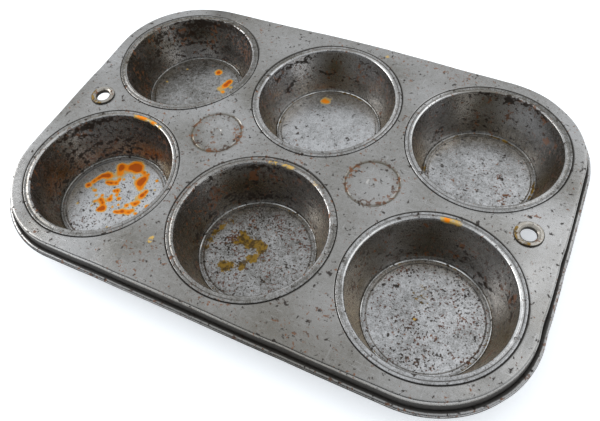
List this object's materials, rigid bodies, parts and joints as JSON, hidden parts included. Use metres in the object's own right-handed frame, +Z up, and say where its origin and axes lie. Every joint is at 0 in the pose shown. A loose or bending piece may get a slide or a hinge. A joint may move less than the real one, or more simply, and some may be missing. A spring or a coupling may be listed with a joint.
{
  "type": "muffin tin",
  "caption": "Rectangular muffin tin with rounded corners: drawn cups folded into a pressed sheet-steel plate with a wired rolled rim and lined hanging holes.",
  "frame": {"origin": "under the middle of the tin, in the plane that the cups' undersides stand on", "axes": "+X along the tin's long side (three cups), +Y along its short side (two cups), +Z up, out of the cups' mouths"},
  "size_m": [0.2798, 0.191, 0.0269],
  "materials": {
    "plate_tinplate": "aged tinplate, satin, with fine scratches, brown specks and dark grime in the folds",
    "cup_tinplate": "aged tinplate, satin, burnt dark brown in patches on the walls and rust-spotted on the floors",
    "eyelet_metal": "worn bright on the dome, tarnished brown round its edge",
    "rim_wire_steel": "dull dark steel"
  },
  "bodies": {
    "root": {"plate": "plate_tinplate", "rim_wire": "rim_wire_steel", "cup_front_left": "cup_tinplate", "cup_front_middle": "cup_tinplate", "cup_front_right": "cup_tinplate", "cup_back_left": "cup_tinplate", "cup_back_middle": "cup_tinplate", "cup_back_right": "cup_tinplate", "eyelet_left": "eyelet_metal", "eyelet_right": "eyelet_metal"}
  },
  "joints": []
}
